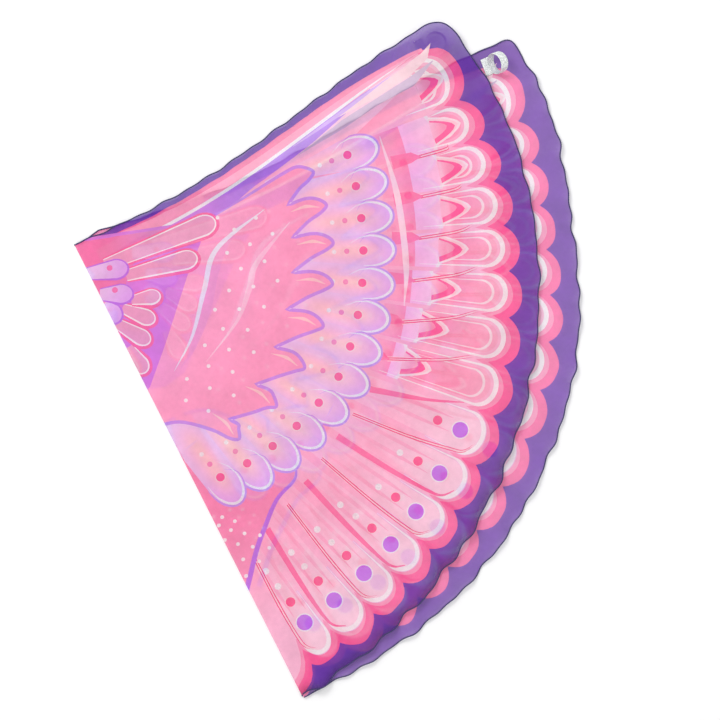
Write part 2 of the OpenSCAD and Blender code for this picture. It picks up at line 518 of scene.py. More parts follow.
def draw_feathers():
    for draw, first, last in ((draw_inner_blocks, 1, UPPER), (draw_upper_feather, 0, UPPER),
                              (draw_lower_feather, UPPER, FEATHERS - 1), (draw_rib, 2, FEATHERS),
                              (draw_junction, 2, UPPER + 1)):
        for k in range(first, last):
            draw(k)
    stroke(bend((438, 10), (441, 20), (446, 31), (448, 38)), [1, 8, 8, 1], ARC, 0.2)


# -------- the leading edge
def lead_band(x0, x1, upper, lower, shade, glitter=0.0, steps=40):
    """A band below the leading edge between two depths, each a function of x."""
    x = np.linspace(x0, x1, steps)
    top = np.stack([x, lead_y(x) - upper(x)], -1)
    low = np.stack([x, lead_y(x) - lower(x)], -1)
    paint(np.concatenate([top, low[::-1]]), shade, glitter)


def swell(x, x0, x1):
    """0 at both ends of a stretch and 1 in its middle."""
    return np.sin(np.clip((x - x0) / (x1 - x0), 0, 1) * math.pi)


def white_depth(x):
    """Depth of the white line's upper side below the leading edge."""
    return 24.5 + 18 * np.exp(-x / 35)


def below_white(start, grow=0.0, x0=0.0, x1=1.0):
    """A depth start millimetres below the white line, swelling by grow between x0 and x1."""
    return lambda x: white_depth(x) + start + grow * swell(x, x0, x1)


def depth_through(*places):
    """A depth that runs straight from place to place, each (x, depth)."""
    x_places, depths = zip(*places)
    return lambda x: np.interp(x, x_places, depths)


def draw_leading_edge():
    """Bands from the border inwards: pink, white, orchid, grey where the rear shows, and a cream blade."""
    mauve = along(LEAD_MAUVE, LEAD_MAUVE_END, 180, 420)
    lead_band(0, 530, border_width, below_white(1), along(LEAD_PINK, LEAD_PINK_END, 60, 480))
    lead_band(60, 525, lambda x: border_width(x) + 7 * swell(x, 60, 620), white_depth, LEAD_ROSE)
    lead_band(60, 500, below_white(4), below_white(12, 34, 60, 560), mauve)
    lead_band(5, 505, white_depth, below_white(0, 6.5, -20, 506), WHITE_LINE, 0.7)
    orchid_low = depth_through((70, 30), (120, 46), (190, 52), (260, 42), (350, 41), (410, 36), (450, 31))
    lead_band(70, 450, below_white(4), orchid_low, along(ORCHID, STREAK_END, 140, 260))
    grey_top = depth_through((330, 42), (400, 40), (450, 43), (500, 44), (535, 42))
    grey_low = depth_through((330, 42.5), (400, 50), (450, 51), (500, 56), (535, 43))
    lead_band(330, 535, grey_top, grey_low, GREY_LAVENDER)
    blade_top = depth_through((380, 31), (450, 31), (500, 30), (527, 27), (543, 22))
    blade_low = depth_through((380, 31.5), (450, 42), (500, 43), (530, 37), (543, 22))
    lead_band(380, 543, blade_top, blade_low, CREAM_PINK)
    lead_band(330, 480, below_white(5), below_white(5.5, 4, 330, 480), THIN_STREAK)


# -------- the lavender lobes
LOBES = 13
FIRST_LOBE = 11.2
LOBE_STEP = 5.93
LOBE_TIP = 433.0
LOBE_LEN = 150.0
LOBE_HALF = 21.5
LOBE_CAP = 32.0


def lobe_angle(k):
    return FIRST_LOBE + LOBE_STEP * k


def lobe_tip(a):
    """Radius of a lobe's tip; the last lobes draw in towards the neck."""
    return LOBE_TIP - 1.4 * max(a - 52, 0)


def glow(tip, a):
    """Lavender with a peach light along the lobe's middle."""

    def shade(p):
        c, s = math.cos(math.radians(a)), math.sin(math.radians(a))
        out = p[..., 0] * c - p[..., 1] * s - (tip - 66)
        across = -p[..., 0] * s - p[..., 1] * c
        core = np.exp(-((out / 42) ** 4) - (across / 9.5) ** 2)[..., None]
        halo = np.exp(-((out / 52) ** 4) - (across / 15) ** 2)[..., None]
        ground = along(PALE_LAVENDER, LAVENDER, tip - 60, tip - 14)(p)
        ground = ground * (1 - halo) + PEACH_HALO * halo
        return ground * (1 - core) + PEACH * core

    return shade


def lobe_line(tip, a, half, cap, upper, lower):
    """The outline of a lobe's end, from a point on its upper side round to one on its lower side."""
    t = np.linspace(-math.pi / 2, math.pi / 2, 15)
    head = np.stack([tip - cap + cap * np.cos(t), half * np.sin(t)], -1)
    start = [[tip - upper, -half * 0.45], [tip - (upper + cap) / 2, -half * 0.86]]
    return local_shape(np.concatenate([start, head, [[tip - lower, half]]]), a)


def draw_lobes():
    """Each lobe has a violet rim, a glittering line inside it and a row of four dots."""
    for k in range(LOBES):
        a = lobe_angle(k)
        tip = lobe_tip(a)
        foot = 0.08 if k == 0 else 0.95
        rim = lobe_line(tip + 0.3, a, LOBE_HALF + 0.3, LOBE_CAP, 46, 36)
        light = lobe_line(tip - 2.8, a, LOBE_HALF - 2.6, LOBE_CAP - 2, 56, 38)
        paint(finger(tip, a, LOBE_LEN, LOBE_HALF, LOBE_CAP, foot), glow(tip, a))
        stroke(rim, [0.3, 1.6, 2.6, 2.8, 2.6, 0.6], LOBE_RIM)
        stroke(light, [0.3, 2.4, 3.4, 3.4, 2.4, 0.4], LOBE_LIGHT, 1.0)
        dot(tip - 41, a, 6.6, CREAM_PINK, 0.5)
        dot(tip - 41, a, 5.4, LOBE_DOT)
        dot(tip - 62, a + 0.1, 3.4, SMALL_DOT)
        dot(tip - 78, a + 0.2, 2.8, WHITE, 1.0)


# -------- the pink inner wing
TEETH = 8
VALLEY = 303.0  # radius of the notches between the teeth
LONGEST_TOOTH = 355.0
LAST_SIDE = [(298, 77), (268, 81), (256, 85), (252, 90)]  # from the last tooth in to the fold
WING_ROOT = [(212, 90), (207, 82.4), (174, 37.2), (205, 17)]  # where the neck's ground begins


def tooth_angle(j):
    """Angle of tooth j; the teeth spread a little towards the fold."""
    return 12 + 7.0 * j + 0.26 * j * j


def tooth_tip(j):
    return LONGEST_TOOTH - 1.4 * (j - 2.7) ** 2


def tooth_line():
    """The row of pointed teeth, each with a straight upper side and a long lower side."""
    out = []
    for j in range(TEETH):
        a, r = tooth_angle(j), tooth_tip(j)
        after = tooth_angle(j + 1) - 1.3
        high = r - VALLEY
        lower = [(VALLEY + 0.45 * high, (a + after) / 2), (VALLEY, after)]
        if j == TEETH - 1:
            lower = LAST_SIDE
        upper = [(VALLEY, a - 1.3), (VALLEY + 0.5 * high, a - 1.9), (r - 9, a - 1.2)]
        out.append(bend(*upper, (r, a + 0.3), (r - 9, a + 1.7), *lower, steps=30)[:-1])
    return np.concatenate(out)


def draw_inner_wing():
    """The pink field inside the teeth, its violet rim and a light on each tooth."""
    teeth = tooth_line()
    root = corners(LAST_SIDE[-1], *WING_ROOT)
    paint(np.concatenate([teeth, root]), along(WING_PINK, WING_PINK_END, 150, 340))
    stroke(teeth, [4.2, 4.2], TOOTH_RIM)
    stroke(bend((VALLEY, tooth_angle(0) - 1.3), (250, 13.5), WING_ROOT[-1]), [4, 3, 1], TOOTH_RIM)
    for j in range(1, TEETH):
        a, r = tooth_angle(j), tooth_tip(j)
        light = bend((r - 46, a + 0.4), (r - 26, a - 0.2), (r - 9, a + 0.5), steps=12)
        stroke(light, [0.3, 4.2, 0.5], TOOTH_LIGHT)


def draw_wedge():
    """The coral field beside the fold, below the lobes, and the purple line that bounds it."""
    edge = bend((400, 70), (414, 72.3), (416, 76.9), (432, 81.4), (452, 85.2), (487, 89.4))
    field = np.concatenate([edge, corners((487, 92), (300, 92), (300, 70))])
    paint(field, along(WEDGE_PINK, WEDGE_PINK_END, 380, 480))
    stroke(edge, [2, 4, 5.5, 6.0, 6], STREAK)


def leaf(base, tip, half, shade, glitter=0.0):
    """A finger from a base point to a tip point, both (radius, angle)."""
    base, tip = polar(*base), polar(*tip)
    run = tip - base
    length = math.hypot(*run)
    t = np.linspace(-math.pi / 2, math.pi / 2, 12)
    cap = min(1.3 * half, 0.6 * length)
    u = np.concatenate([length - cap + cap * np.cos(t), [0, 0]])[:, None]
    v = np.concatenate([half * np.sin(t), [half * 0.55, -half * 0.55]])[:, None]
    run = run / length
    paint(base + u * run + v * np.array([-run[1], run[0]]), shade, glitter)


LEAVES = (  # base, tip (both radius and angle) and half width
    ((151, 79), (190, 80.4), 10.5),
    ((118, 75), (166, 71), 10.5),
    ((112, 66), (155, 62), 10.5),
    ((116, 59), (147, 50), 10),
    ((98, 45), (184, 30.6), 12.5),
    ((70, 40), (211, 18.1), 13.5),
)
SMALL_FEATHERS = (((91, 72), (122, 73)), ((80, 67), (116, 55)), ((50, 57), (100, 39)))  # base and tip


def draw_neck():
    """Orchid ground, leaf feathers and three small lavender feathers."""
    paint(corners((40, 0), *WING_ROOT[::-1], (0, 90)), ORCHID)
    collar = corners((30, 0), (150, 17), (100, 40), (120, 75), (140, 90), (0, 90))
    paint(collar, along(COLLAR, COLLAR_END, 60, 150))
    for base, (r, a), half in LEAVES:
        leaf(base, (r + 4, a), half + 3.4, LEAF_RIM)
        leaf(base, (r, a), half, WHITE, 0.3)
        leaf(base, (r - 1.8, a), half - 1.8, LEAF)
    for base, (r, a) in SMALL_FEATHERS:
        leaf(base, (r, a), 13.5, STREAK)
        leaf(base, (r - 2.6, a), 11.2, along(PALE_LAVENDER, LAVENDER, r - 40, r))
        dot(r - 24, a + 3, 3.6, NECK_DOT)


LONG_STROKES = (  # points, widths, colour and glitter
    (((262, 18), (226, 24), (206, 34), (206, 48), (212, 62), (216, 71)),
     (0.5, 7, 14, 12, 7, 0.5), SHADOW_STROKE, 0.0),
    (((274, 17.7), (208, 27.7), (197, 42.2), (204, 59.5), (212, 72.9)),
     (0.5, 5, 6.5, 6, 4.5, 2.5, 0.4), LONG_STROKE, 0.5),
    (((302, 22), (258, 32), (252, 39.5), (247, 49.6), (236, 64.2)),
     (0.5, 6, 8, 6, 3, 0.5), PINK_STROKE, 0.2),
)
WING_DOTS = 26
WEDGE_DOTS = 14
SCATTER = 0.618  # the golden section, which spreads dots evenly without rows


def draw_strokes():
    """The long soft strokes across the inner wing and the scattered white dots."""
    for points, widths, shade, glitter in LONG_STROKES:
        stroke(bend(*points, steps=40), widths, shade, glitter)
    for i in range(WING_DOTS):
        dot(214 + 76 * (i * SCATTER % 1), 16 + 62 * (i + 0.5) / WING_DOTS, 2.4, WHITE, 0.6)
    for i in range(WEDGE_DOTS):
        dot(385 + 6.5 * i, 88.5 - (3 + 0.35 * i) * (i * SCATTER % 1), 2.3, WHITE, 0.6)


def draw_print():
    """Everything on one half, from the bottom layer up; what is left bare is the violet border."""
    draw_fields()
    draw_feathers()
    draw_wedge()
    draw_leading_edge()
    draw_lobes()
    draw_inner_wing()
    draw_neck()
    draw_strokes()


BACK_FADE = 0.1  # how much paler the print looks on the inner face
BACK_TINT = colour("DE90F4")  # and what it fades towards
HEM_SHADE = 0.45  # painted shade: how much darker the front wing's cloth is painted near its outer hem, in place of a curled, doubled hem and the shadow under it


# -------- the flat half, cut along the print
GRID = 6.0
ROW = 0.87 * GRID  # rows of equal-sided triangles
HEAD = 2 * GRID  # the rows start above the leading edge
SNAP = 0.2  # points and lines closer than this become one
SLIVER = 0.3  # triangles lower than this are turned against a neighbour
LEAST_AREA = 1e-4  # and what has less doubled area than this is left out


def pairs(first, second):
    """Every value of first with every value of second, as two flat arrays."""
    return (g.reshape(-1) for g in np.meshgrid(first, second, indexing="ij"))


def inside(outline, points):
    """Which points lie inside a closed outline."""
    x, y = points[:, 0], points[:, 1]
    hit = np.zeros(len(points), bool)
    a = outline
    b = np.roll(outline, -1, axis=0)
    for (x0, y0), (x1, y1) in zip(a, b):
        if y0 == y1:
            continue
        crosses = (y0 > y) != (y1 > y)
        hit ^= crosses & (x < (x1 - x0) * (y - y0) / (y1 - y0) + x0)
    return hit


def half_outline():
    """The cut edge of one half, from the neck round to the bottom point."""
    return np.concatenate([lead_path(), tip_path(), outer_path()[1:]])


def doubled_area(verts, tris):
    """Twice the signed area of each triangle."""
    a, b, c = (verts[tris[:, i]] for i in range(3))
    return (b[:, 0] - a[:, 0]) * (c[:, 1] - a[:, 1]) - (b[:, 1] - a[:, 1]) * (c[:, 0] - a[:, 0])


def without_slivers(verts, tris):
    """Turn the long side that each very thin triangle shares, because a face without height has no normal."""
    sides = np.linalg.norm(verts[tris] - verts[np.roll(tris, -1, axis=1)], axis=2)
    thin = np.nonzero(doubled_area(verts, tris) < SLIVER * sides.max(axis=1))[0]
    tris = [tuple(int(v) for v in t) for t in tris]
    owner = {(t[i], t[i - 2]): n for n, t in enumerate(tris) for i in range(3)}
    for n in thin:
        t = tris[n]
        i = int(np.argmax([math.dist(verts[t[k]], verts[t[k - 2]]) for k in range(3)]))
        a, b, c = t[i], t[i - 2], t[i - 1]
        m = owner.get((b, a))
        if m is None:
            continue
        d = next(v for v in tris[m] if v not in (a, b))
        for k, turned in ((n, (a, d, c)), (m, (d, b, c))):
            tris[k] = turned
            owner.update({(turned[j], turned[j - 2]): k for j in range(3)})
    return np.array(tris)


def flat_half():
    """Vertices and triangles of one half of the sheet, cut along every outline of the print."""
    outline = half_outline()
    points, edges = [], []

    def add(path, closed=True):
        first = len(points)
        points.extend(Vector(p) for p in path)
        count = len(path)
        edges.extend((first + i, first + (i + 1) % count) for i in range(count if closed else count - 1))

    add(outline)
    for bend_side in (-FOLD_HALF, FOLD_HALF):
        add([[fold_x(0.0) + bend_side, 0.0], [bend_side, -CENTRE_LEN]], closed=False)
    low = HEAD - CENTRE_LEN
    add([[FOLD_HALF - fold_x(low), low], [FOLD_HALF, -CENTRE_LEN]], closed=False)
    for shape, _, _ in ART:
        add(shape)
    rows = int(CENTRE_LEN / GRID) + 4
    i, j = pairs(np.arange(rows), np.arange(int(rows * 1.2)))
    grid = np.stack([GRID * (i + 0.5 * (j % 2)), HEAD - ROW * j], -1)
    grid = grid[inside(outline, grid)]
    points.extend(Vector(p) for p in grid)
    made = delaunay_2d_cdt(points, edges, [], 0, SNAP, False)
    verts = np.array(made[0])
    tris = np.array([t for t in made[2] if len(t) == 3])
    middle = verts[tris].mean(axis=1)
    tris = without_slivers(verts, tris[inside(outline, middle)])
    return verts, tris[doubled_area(verts, tris) > LEAST_AREA]


def topmost(points):
    """The topmost painted layer at each point, or -1 for the border."""
    top = np.full(len(points), -1)
    for i, (shape, _, _) in enumerate(ART):
        low, high = shape.min(axis=0), shape.max(axis=0)
        near = np.nonzero(np.all((points >= low) & (points <= high), axis=1))[0]
        hit = inside(shape, points[near])
        top[near[hit]] = i
    return top


def ink(corners, side):
    """Linear colour and glitter of each face's corners, as the layer under the face's middle says; the front
    wing gets painted shade near its outer hem.
    """
    top = topmost(corners.mean(axis=1))
    out = np.zeros(corners.shape[:2] + (4,))
    out[..., :3] = VIOLET
    for i, (_, shade, glitter) in enumerate(ART):
        here = top == i
        if here.any():
            out[here, :, :3] = shade(corners[here])
            out[here, :, 3] = glitter
    if side == REAR:
        out[..., :3] += BACK_FADE * (BACK_TINT - out[..., :3])
    else:
        # painted shade: on the front wing the colour is darkened near the outer hem below the wavy angle,
        # standing in for a curled hem and its shadow
        _, a, outer, _ = edge_places(corners)
        hem_shade_mask = bell(outer, 9) * past(a, WAVY_FROM + 2, 4)
        out[..., :3] *= 1 - HEM_SHADE * hem_shade_mask[..., None]
    return out


# -------- how the sheet lies
RNG = random.Random(3)


def wave_set(lengths):
    """Waves of the given lengths with fixed, seeded phases."""
    return [(length, RNG.uniform(0, 2 * math.pi)) for length in lengths]


OUTER_WAVES = {REAR: wave_set((47, 31, 73)), FRONT: wave_set((52, 36, 83))}
LEAD_WAVES = {REAR: wave_set((38, 61)), FRONT: wave_set((33, 55))}
SOFT_WAVES = {REAR: wave_set((140, 95)), FRONT: wave_set((120, 86))}
FINE_WAVES = {REAR: wave_set((19, 13, 27)), FRONT: wave_set((17, 12, 23))}
# How far the gathered cloth moves the outer edge out: (millimetres, middle angle, spread)
EDGE_PULL = {REAR: ((-17, 21, 14), (-3, 3, 6), (6, 66, 16)), FRONT: ((-6, 28, 24),)}
ROUND = 600.0  # about the outer edge's radius, to turn angles into lengths along it
CURL = 20.0  # how far in from the outer edge its waves reach
LEAD_CURL = 9.0  # and from the leading edge
SOFT_REACH, SOFT_RISE = 60.0, 0.8
FINE_REACH, FINE_RISE = 38.0, 0.45
LEAD_RISE, LEAD_SHIFT = 1.5, 1.3
WAVY_FROM = 42  # the front wing's outer edge is wavier below this angle
CALM = 0.35  # how wavy the rear wing is
CREASE = (181.0, -140.0)
CREASE_RUN = (0.82, -0.57)
TENT = 27.0  # how far the cloth's rise over a finger loop reaches
FOLD_EASE = 12.0  # the cloth makes room for the bend over this distance
FOLD_CALM = 14.0  # no waves nearer to the fold


def wave(waves, s):
    """The mean of a set of waves, s millimetres along an edge."""
    return sum(np.sin(2 * math.pi * s / length + phase) for length, phase in waves) / len(waves)


def bell(distance, spread):
    """1 at a line and almost 0 at twice the spread from it."""
    return np.exp(-((distance / spread) ** 2))


def past(a, start, blend):
    """0 well above the angle start and 1 well below it."""
    return 1 / (1 + np.exp(-(a - start) / blend))


def edge_places(p):
    """Radius, angle, distance from the outer edge and distance from the leading edge of flat points."""
    x = np.abs(p[..., 0])
    r = np.hypot(x, p[..., 1])
    a = np.degrees(np.arctan2(-p[..., 1], np.maximum(x, 1e-6)))
    return r, a, np.maximum(reach(np.clip(a, 0, 90)) - r, 0), np.maximum(lead_y(x) - p[..., 1], 0)


def ripple(p, side):
    """Where flat points move in the plane, and how high the waves of the cloth lift them."""
    r, a, outer, lead = edge_places(p)
    s = np.radians(a) * ROUND
    grow = past(a, WAVY_FROM, 6) if side == FRONT else CALM
    curl, lead_curl = bell(outer, CURL), bell(lead, LEAD_CURL)
    lift = (2.6 + 5.0 * grow) * curl * np.clip(0.5 + 0.9 * wave(OUTER_WAVES[side], s), 0, 1.3)
    lift += LEAD_RISE * lead_curl * np.clip(0.5 + wave(LEAD_WAVES[side], p[..., 0]), 0, 1.4)
    lift += SOFT_RISE * bell(outer, SOFT_REACH) * (1 + wave(SOFT_WAVES[side], s))
    lift += FINE_RISE * bell(outer, FINE_REACH) * (1 + wave(FINE_WAVES[side], s))
    shift = (1.6 + 2.6 * grow) * curl * wave(OUTER_WAVES[side], s + 9)
    shift += (r / ROUND) ** 4 * sum(far * bell(a - middle, spread) for far, middle, spread in EDGE_PULL[side])
    xy = p + p / np.maximum(r, 1)[..., None] * shift[..., None]
    xy[..., 1] += LEAD_SHIFT * lead_curl * wave(LEAD_WAVES[side], p[..., 0] + 11)
    return xy, lift


def near_loop(p):
    """1 over the wing's finger loop and 0 away from it."""
    q = np.hypot((p[..., 0] - LOOP_REACH - 4) / 1.5, p[..., 1] + LOOP_DROP)
    return 1 / (1 + (q / TENT) ** 8)


def crease(p):
    """One small fold in the middle of the front wing."""
    x, y = p[..., 0] - CREASE[0], p[..., 1] - CREASE[1]
    c, s = CREASE_RUN
    return 2.4 * bell(y * c - x * s, 4.5) * bell(x * c + y * s, 26)


def turned(x, y, angle):
    """The coordinates of a point in axes that are turned by an angle."""
    c, s = math.cos(angle), math.sin(angle)
    return x * c + y * s, y * c - x * s


def opened(x, y):
    """The sheet frame to the part frame, before centring."""
    return turned(x, y + CENTRE_LEN, FOLD_SKEW)


def centred(x, y, z):
    """Millimetres from the bottom point to metres from the frame's origin."""
    return np.stack([x - MIDDLE[0], y - MIDDLE[1], z], -1) * MM


def uncovered(px, py):
    """0 where the front wing covers a place of the rear wing and 1 where it is well clear."""
    x, y = turned(px, py, FOLD_SKEW)
    r, a, _, _ = edge_places(np.stack([x, y - CENTRE_LEN], -1))
    return np.clip((r - reach(np.clip(a, 0, 90)) + 6) / 18, 0, 1)


def place(p, side):
    """Flat points of a half, with x along that half's leading edge, to the part frame in metres."""
    p = np.asarray(p, float)
    xy, lift = ripple(p, side)
    px, py = opened(xy[..., 0] * side, xy[..., 1])
    px = np.abs(px)
    px = px - FOLD_WIDTH / 2 * np.exp(-(px - FOLD_WIDTH / 2) / FOLD_EASE)
    held = near_loop(p)
    if side == FRONT:
        low = FRONT_Z + lift * (1 - bell(px, FOLD_CALM)) + crease(p)
        z = (1 - held) * low + held * (HINGE_TOP + px * math.tan(REST_TILT))
    else:
        z = SHEET_Z + lift * uncovered(px, py) * (1 - held)
    return centred(px, py, z)


def fold_place(u, y):
    """Points of the bend, from u = -1 on the front wing's side to u = 1 on the rear wing's, in metres."""
    radius = (FRONT_Z - SHEET_Z) / 2
    turn = math.pi / 2 * u
    return centred(-radius * np.cos(turn), opened(-fold_x(y), y)[1], SHEET_Z + radius - radius * np.sin(turn))


def loop_frame(side, p):
    """Points of a finger loop, from its own upright place beside its hinge, to the part frame in metres."""
    x, z = turned(p[..., 0], p[..., 2], LEAN[side])
    px, py = opened((x + LOOP_REACH) * side, p[..., 1] - LOOP_DROP)
    z = z + LOOP_BASE
    if side == FRONT:
        px, z = turned(px, z - HINGE_Z, math.pi - REST_TILT)
        z = z + HINGE_Z
    return centred(px, py, z)


# -------- materials
def material(name):
    """A new material and its empty node tree."""
    m = bpy.data.materials.new(name)
    m.use_nodes = True
    m.node_tree.nodes.clear()
    return m, m.node_tree


def node(tree, kind, inputs=(), **settings):
    """A shader node; an input is either a value or another node's socket."""
    n = tree.nodes.new("ShaderNode" + kind)
    for key, value in settings.items():
        setattr(n, key, value)
    for key, value in dict(inputs).items():
        if isinstance(value, bpy.types.NodeSocket):
            tree.links.new(value, n.inputs[key])
        else:
            n.inputs[key].default_value = value
    return n


def cloth_uv(tree):
    return node(tree, "UVMap", uv_map="cloth").outputs["UV"]


def own_place(tree):
    return node(tree, "TexCoord").outputs["Object"]


def noise(tree, where, scale, detail=2.0):
    return node(tree, "TexNoise", {"Vector": where, "Scale": scale, "Detail": detail}).outputs["Fac"]


def ribs(tree, where, scale, direction):
    """Fine parallel lines, as woven threads or cords make."""
    return node(tree, "TexWave", {"Vector": where, "Scale": scale}, bands_direction=direction).outputs["Fac"]


def flakes(tree, where, scale):
    """Small cells, each with its own random tone."""
    return node(tree, "TexVoronoi", {"Vector": where, "Scale": scale}).outputs["Color"]


def spread(tree, value, low, high, start=0.0, end=1.0):
    """Takes a value between start and end to one between low and high."""
    ends = {"From Min": start, "From Max": end, "To Min": low, "To Max": high}
    return node(tree, "MapRange", {"Value": value, **ends}).outputs["Result"]


def times(tree, a, b):
    return node(tree, "Math", {0: a, 1: b}, operation="MULTIPLY").outputs["Value"]


def toned(tree, base, tone):
    """A colour made lighter or darker by a tone."""
    return node(tree, "VectorMath", {0: base, 1: tone}, operation="MULTIPLY").outputs["Vector"]


def mixed(tree, share, a, b):
    return node(tree, "Mix", {"Factor": share, "A": a, "B": b}, data_type="RGBA").outputs["Result"]


def bump(tree, height, strength, distance):
    sizes = {"Height": height, "Strength": strength, "Distance": distance * MM}
    return node(tree, "Bump", sizes).outputs["Normal"]


def surface(tree, inputs):
    """The Principled shader and the material's output."""
    shader = node(tree, "BsdfPrincipled", inputs)
    node(tree, "OutputMaterial", {"Surface": shader.outputs["BSDF"]})


WEAVE = 700.0
GLITTER = (0.72, 0.76, 0.78, 1)


def chiffon():
    """The printed sheer cloth: woven, a little cloudy, less sheer where the print is dark, with glitter."""
    m, t = material("chiffon")
    printed = node(t, "Attribute", attribute_name="print").outputs
    uv = cloth_uv(t)
    threads = times(t, ribs(t, uv, WEAVE, "X"), ribs(t, uv, WEAVE, "Y"))
    slub = spread(t, noise(t, uv, 160.0, 3.0), 0.955, 1.03, 0.3, 0.7)
    cloud = spread(t, noise(t, uv, 28.0, 4.0), 0.90, 1.06, 0.3, 0.7)
    dyed = toned(t, printed["Color"], times(t, slub, cloud))
    spark = spread(t, flakes(t, uv, 1100.0), 0.0, 1.0, 0.25, 0.8)
    body = mixed(t, times(t, spark, printed["Alpha"]), dyed, GLITTER)
    pale = node(t, "RGBToBW", {"Color": printed["Color"]}).outputs["Val"]
    cover = spread(t, pale, 0.72, 0.55, 0.05, 0.35)
    veil = node(t, "Math", {0: threads, 1: 0.08, 2: cover}, operation="MULTIPLY_ADD").outputs["Value"]
    surface(t, {"Base Color": body, "Roughness": 0.62, "Alpha": veil, "Normal": bump(t, threads, 0.25, 0.1),
                "Sheen Weight": 0.15, "Sheen Roughness": 0.4, "Specular IOR Level": 0.25})
    return m


def thread_material(name, base):
    """Matt polyester thread with a fine twist."""
    m, t = material(name)
    twist = noise(t, own_place(t), 900.0)
    surface(t, {"Base Color": toned(t, tuple(base), spread(t, twist, 0.6, 1.35)), "Roughness": 0.6,
                "Normal": bump(t, twist, 0.4, 0.2), "Sheen Weight": 0.2})
    return m


def sheer_elastic():
    """A see-through pale pink band with fine cords along it."""
    m, t = material("sheer_elastic")
    cords = ribs(t, cloth_uv(t), 260.0, "Y")
    tone = mixed(t, cords, (0.80, 0.52, 0.62, 1), (0.95, 0.72, 0.79, 1))
    surface(t, {"Base Color": tone, "Roughness": 0.5, "Alpha": spread(t, cords, 0.22, 0.42)})
    return m


def glitter_elastic():
    """Silver-white elastic with metal flakes woven in."""
    m, t = material("glitter_elastic")
    where = own_place(t)
    share = spread(t, flakes(t, where, 1300.0), 0.0, 1.0, 0.2, 0.75)
    tone = mixed(t, share, (0.46, 0.50, 0.49, 1), (0.95, 0.97, 0.96, 1))
    surface(t, {"Base Color": tone, "Roughness": 0.42, "Metallic": 0.25,
                "Normal": bump(t, noise(t, where, 600.0), 0.5, 0.3)})
    return m


def floor_material():
    """Plain matt white with the faintest mottle."""
    m, t = material("floor")
    tone = spread(t, noise(t, own_place(t), 30.0), 0.895, 0.905)
    shade = node(t, "CombineColor", {"Red": tone, "Green": tone, "Blue": tone}).outputs["Color"]
    surface(t, {"Base Color": shade, "Roughness": 0.9, "Specular IOR Level": 0.0})
    return m


# -------- meshes
def new_object(name, verts, faces, mat):
    mesh = bpy.data.meshes.new(name)
    mesh.from_pydata([tuple(v) for v in verts], [], [tuple(int(i) for i in f) for f in faces])
    mesh.shade_smooth()
    mesh.materials.append(mat)
    obj = bpy.data.objects.new(name, mesh)
    bpy.context.scene.collection.objects.link(obj)
    return obj


def painted(name, verts, faces, flat, colours, mat):
    """A cloth mesh whose corners carry the print and whose UV is the flat place of each vertex."""
    obj = new_object(name, verts, faces, mat)
    corner_ink = obj.data.color_attributes.new("print", "FLOAT_COLOR", "CORNER")
    corner_ink.data.foreach_set("color", colours.reshape(-1).astype(np.float32))
    lay_uv(obj, flat)
    return obj


def lay_uv(obj, flat):
    """UV in metres on the flat cloth, so that the weave keeps its real size."""
    uv = obj.data.uv_layers.new(name="cloth")
    corners = np.array([loop.vertex_index for loop in obj.data.loops])
    uv.data.foreach_set("uv", (flat[corners] * MM).reshape(-1).astype(np.float32))


def ring_faces(count, around, closed):
    """Quads of a tube of count rings with around points each; an open tube gets end caps."""
    faces = []
    for i in range(count if closed else count - 1):
        a, b = i * around, (i + 1) % count * around
        faces += [(a + j, a + (j + 1) % around, b + (j + 1) % around, b + j) for j in range(around)]
    if not closed:
        faces.append(tuple(range(around))[::-1])
        faces.append(tuple((count - 1) * around + j for j in range(around)))
    return faces


def unit(vectors):
    return vectors / np.linalg.norm(vectors, axis=1)[:, None]


def side_and_up(path):
    """Directions square to a path: level to its side, and up."""
    step = unit(np.gradient(path, axis=0))
    side = unit(np.cross(step, [0.0, 0.0, 1.0]))
    return side, np.cross(side, step)


def tube(path, radius, sides):
    """Vertices and faces of a round tube along a path, with capped ends."""
    side, up = side_and_up(path)
    t = np.linspace(0, 2 * math.pi, sides, endpoint=False)[None, :, None]
    verts = path[:, None] + radius * (side[:, None] * np.cos(t) + up[:, None] * np.sin(t))
    return verts.reshape(-1, 3), ring_faces(len(path), sides, closed=False)


def helix(path, radius, pitch, per_turn):
    """Points that wind round a path."""
    length = np.concatenate([[0], np.cumsum(np.linalg.norm(np.diff(path, axis=0), axis=1))])
    s = np.linspace(0, length[-1], int(length[-1] / pitch) * per_turn)
    at = np.stack([np.interp(s, length, path[:, i]) for i in range(3)], -1)
    side, up = side_and_up(at)
    t = (2 * math.pi * s / pitch)[:, None]
    return at + radius * (side * np.cos(t) + up * np.sin(t))


# -------- the cloth
FOLD_ROWS, FOLD_COLUMNS = 420, 10


def front_cloth(verts, tris, mat):
    """The front wing: what lies beyond the bend on the front half."""
    middle = verts[tris].mean(axis=1)
    tris = tris[middle[:, 0] > fold_x(middle[:, 1]) + FOLD_HALF]
    used, index = np.unique(tris, return_inverse=True)
    flat = verts[used]
    colours = ink(verts[tris], FRONT)
    return painted("front_wing_cloth", place(flat, FRONT), index.reshape(-1, 3), flat, colours, mat)


def rear_cloth(verts, tris, mat):
    """The rear wing: the whole rear half and the strip of the front half up to the bend."""
    middle = verts[tris].mean(axis=1)
    own = tris[middle[:, 0] > FOLD_HALF - fold_x(middle[:, 1])]
    strip = tris[middle[:, 0] < fold_x(middle[:, 1]) - FOLD_HALF][:, ::-1]
    colours = np.concatenate([ink(verts[own], REAR), ink(verts[strip], REAR)])
    both = np.concatenate([verts, verts * (-1, 1)])
    faces = np.concatenate([own, strip + len(verts)])
    used, index = np.unique(faces, return_inverse=True)
    flat, weld = np.unique(np.round(both[used], 4), axis=0, return_inverse=True)
    faces = weld.reshape(-1)[index].reshape(-1, 3)
    return painted("rear_wing_cloth", place(flat, REAR), faces, flat, colours, mat)


